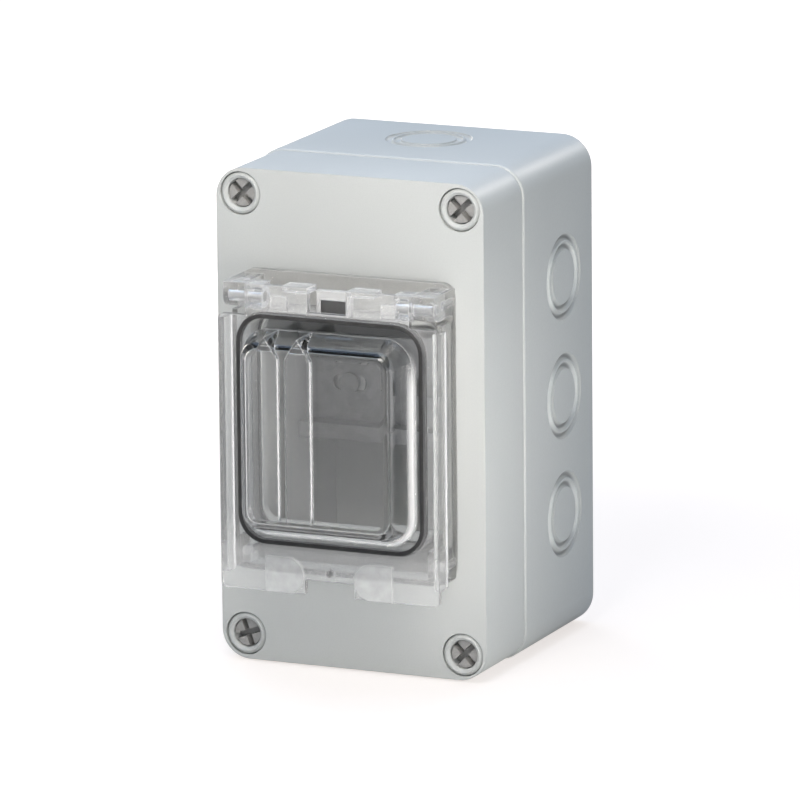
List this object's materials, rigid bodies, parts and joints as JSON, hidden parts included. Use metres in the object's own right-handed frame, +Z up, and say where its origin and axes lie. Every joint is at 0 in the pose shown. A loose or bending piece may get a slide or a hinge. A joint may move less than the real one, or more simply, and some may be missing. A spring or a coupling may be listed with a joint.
{
  "type": "modular electrical enclosure",
  "caption": "Upright wall enclosure with a screwed cover, a clear hinged flap over a cut-out and mounting rail, and break-out cable entries on its sides.",
  "frame": {"origin": "middle of the flat back, where the enclosure meets the wall", "axes": "+Y into the wall, +Z up the wall along the enclosure's height, +X to the right as seen from the front"},
  "size_m": [0.0926, 0.1168, 0.16],
  "materials": {
    "housing_grey": "fine satin moulded plastic, light grey",
    "screw_grey": "satin moulded plastic, mid grey",
    "clear_window": "clear glossy polycarbonate",
    "seal_grey": "matt dark grey sealing rubber",
    "zinc_steel": "bright zinc plate",
    "terminal_brass": "machined brass",
    "carrier_dark": "dark grey moulded plastic"
  },
  "bodies": {
    "base": {"base_housing": "housing_grey", "threaded_inserts": "terminal_brass", "din_rail": "zinc_steel", "rail_screws": "zinc_steel", "terminal_carrier": "carrier_dark", "earth_bar": "terminal_brass", "neutral_bar": "terminal_brass", "terminal_screws": "zinc_steel"},
    "cover": {"cover": "housing_grey", "cover_gasket": "seal_grey", "screw_collars": "housing_grey", "screw_washers": "seal_grey", "window_frame": "clear_window", "frame_gasket": "seal_grey", "frame_screws": "zinc_steel", "keeper_insert": "seal_grey", "flap_gasket": "seal_grey", "hinge_pin_left": "zinc_steel", "hinge_pin_right": "zinc_steel"},
    "flap": {"window_flap": "clear_window"},
    "screw_top_left": {"cover_screw_top_left": "screw_grey"},
    "screw_top_right": {"cover_screw_top_right": "screw_grey"},
    "screw_bottom_left": {"cover_screw_bottom_left": "screw_grey"},
    "screw_bottom_right": {"cover_screw_bottom_right": "screw_grey"}
  },
  "joints": [
    {"name": "cover_lift", "type": "slide", "parent": "base", "child": "cover", "axis": [0, -1, 0], "range_m": [0, 0.08]},
    {"name": "window_swing", "type": "hinge", "parent": "cover", "child": "flap", "pos_m": [0, -0.1, 0.042], "axis": [-1, 0, 0], "range_deg": [0, 110]},
    {"name": "screw_top_left_turn", "type": "hinge", "parent": "cover", "child": "screw_top_left", "pos_m": [-0.03745, -0.0855, 0.0712], "axis": [0, -1, 0], "range_deg": [0, 90]},
    {"name": "screw_top_right_turn", "type": "hinge", "parent": "cover", "child": "screw_top_right", "pos_m": [0.03745, -0.0855, 0.0712], "axis": [0, -1, 0], "range_deg": [0, 90]},
    {"name": "screw_bottom_left_turn", "type": "hinge", "parent": "cover", "child": "screw_bottom_left", "pos_m": [-0.03745, -0.0855, -0.0712], "axis": [0, -1, 0], "range_deg": [0, 90]},
    {"name": "screw_bottom_right_turn", "type": "hinge", "parent": "cover", "child": "screw_bottom_right", "pos_m": [0.03745, -0.0855, -0.0712], "axis": [0, -1, 0], "range_deg": [0, 90]}
  ]
}
